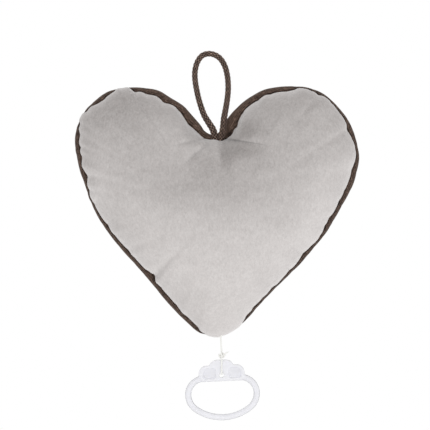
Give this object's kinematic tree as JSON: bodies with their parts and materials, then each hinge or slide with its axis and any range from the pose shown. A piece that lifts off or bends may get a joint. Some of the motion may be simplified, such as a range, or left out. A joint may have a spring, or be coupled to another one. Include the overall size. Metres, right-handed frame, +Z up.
{
  "type": "plush heart music toy",
  "caption": "Stuffed heart with a hanging loop and a pull cord with a moulded ring, which winds a small musical movement inside.",
  "frame": {"origin": "on the heart's middle plane, inside the hanging loop's eye, level with the centre of its round top, where a peg passes through", "axes": "+Z up, +X to the right seen from the front, and the velvet front faces -Y"},
  "size_m": [0.222, 0.076, 0.2883],
  "materials": {
    "velvet": "short-pile velvet, light warm grey",
    "knit": "fine ribbed knit, dark brown",
    "braid": "braided cord, dark brown",
    "fibre": "loose polyester fibre",
    "string": "thin braided white cord",
    "ring_plastic": "moulded white plastic, satin gloss",
    "case_plastic": "moulded light grey plastic",
    "drum_plastic": "moulded white plastic",
    "steel": "ground steel",
    "cast_metal": "die-cast light metal",
    "brass": "turned brass"
  },
  "bodies": {
    "heart": {"front_panel": "velvet", "back_panel": "knit", "fibre_filling": "fibre", "hanging_loop": "braid", "case_base": "case_plastic", "case_cover": "case_plastic", "case_screws": "steel", "cord_eyelet": "brass", "bedplate": "cast_metal", "bedplate_screws": "steel", "bearing_brackets": "brass", "bearing_screws": "steel", "spring_arbor": "brass", "mainspring": "steel", "comb": "steel", "comb_screws": "steel", "governor_bracket": "steel", "governor_screws": "steel", "pull_cord": "string"},
    "drum": {"string_drum": "drum_plastic", "cord_winding": "string", "click_spring": "steel"},
    "crown": {"crown_wheel": "brass", "crown_shaft": "steel", "ratchet_wheel": "brass", "shaft_clip": "steel"},
    "cylinder": {"cylinder_barrel": "brass", "cylinder_pins": "steel", "cylinder_shaft": "steel", "drive_pinion": "brass", "governor_gear": "brass"},
    "governor_wheel": {"governor_shaft": "steel", "governor_pinion": "brass", "worm_wheel": "brass"},
    "governor_worm": {"worm": "steel", "air_brake": "drum_plastic"},
    "cord_end": {"cord_knot": "string", "ring_cord_loop": "string"},
    "ring": {"pull_ring": "ring_plastic"}
  },
  "joints": [
    {"name": "ring_pull", "type": "slide", "parent": "heart", "child": "cord_end", "axis": [0, 0, -1], "range_m": [0, 0.15], "stiffness_N_per_m": 12, "springref_m": -0.05, "deforming": ["pull_cord"]},
    {"name": "drum_spin", "type": "hinge", "parent": "heart", "child": "drum", "pos_m": [-0.009, -0.00915, -0.115], "axis": [0, 1, 0], "range_deg": [0, 670], "deforming": ["mainspring", "click_spring"]},
    {"name": "cylinder_spin", "type": "hinge", "parent": "heart", "child": "cylinder", "pos_m": [-0.009, -0.01562, -0.115], "axis": [1, 0, 0], "continuous": true},
    {"name": "crown_spin", "type": "hinge", "parent": "heart", "child": "crown", "pos_m": [-0.009, -0.00915, -0.115], "axis": [0, 1, 0], "continuous": true},
    {"name": "governor_wheel_spin", "type": "hinge", "parent": "heart", "child": "governor_wheel", "pos_m": [-0.009, -0.01562, -0.123], "axis": [1, 0, 0], "continuous": true},
    {"name": "governor_worm_spin", "type": "hinge", "parent": "heart", "child": "governor_worm", "pos_m": [0.0027, -0.00915, -0.12815], "axis": [0, 1, 0], "continuous": true},
    {"name": "ring_swing", "type": "hinge", "parent": "cord_end", "child": "ring", "pos_m": [0.004, 0, -0.2369], "axis": [0, 1, 0], "range_deg": [-42, 42]}
  ],
  "couplings": [
    {"joint": "drum_spin", "follows": "ring_pull", "rad_per_m": 76.923},
    {"joint": "crown_spin", "follows": "cylinder_spin", "ratio": 0.7},
    {"joint": "governor_wheel_spin", "follows": "cylinder_spin", "ratio": -3},
    {"joint": "governor_worm_spin", "follows": "cylinder_spin", "ratio": 54}
  ]
}
